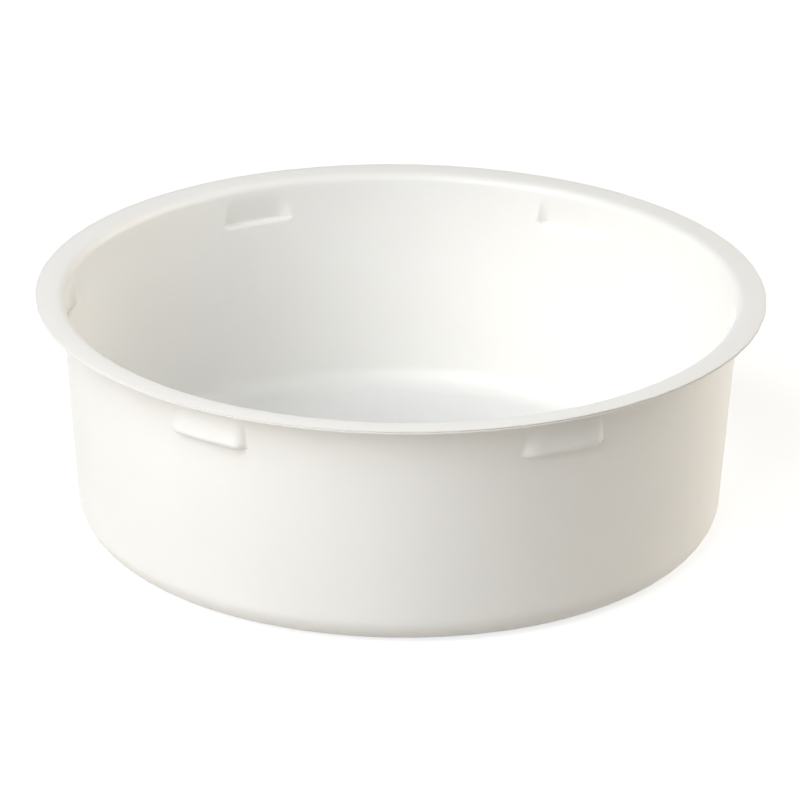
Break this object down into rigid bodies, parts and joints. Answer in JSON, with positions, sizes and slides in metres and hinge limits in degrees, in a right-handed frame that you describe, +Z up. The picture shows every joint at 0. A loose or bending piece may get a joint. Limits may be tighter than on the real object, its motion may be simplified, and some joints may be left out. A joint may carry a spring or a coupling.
{
  "type": "mixing tub",
  "caption": "Round shallow mixing tub moulded in one sheet of white plastic, with a rounded heel, a drafted wall, a flat rim flange and hollow nesting lugs below it.",
  "frame": {"origin": "middle of the flat resting face, on the tub's axis", "axes": "+Z up, out of the tub's mouth; the lugs stand at 30, 90 and 150 degrees to either side of -Y"},
  "size_m": [0.32, 0.32, 0.106],
  "materials": {
    "white_plastic": "satin white moulded polypropylene"
  },
  "bodies": {
    "root": {"floor_panel": "white_plastic", "floor_heel": "white_plastic", "side_wall": "white_plastic", "lug_band": "white_plastic", "rim_corner": "white_plastic", "rim_flange": "white_plastic", "rim_edge": "white_plastic", "nesting_lug_1": "white_plastic", "nesting_lug_2": "white_plastic", "nesting_lug_3": "white_plastic", "nesting_lug_4": "white_plastic", "nesting_lug_5": "white_plastic", "nesting_lug_6": "white_plastic"}
  },
  "joints": []
}
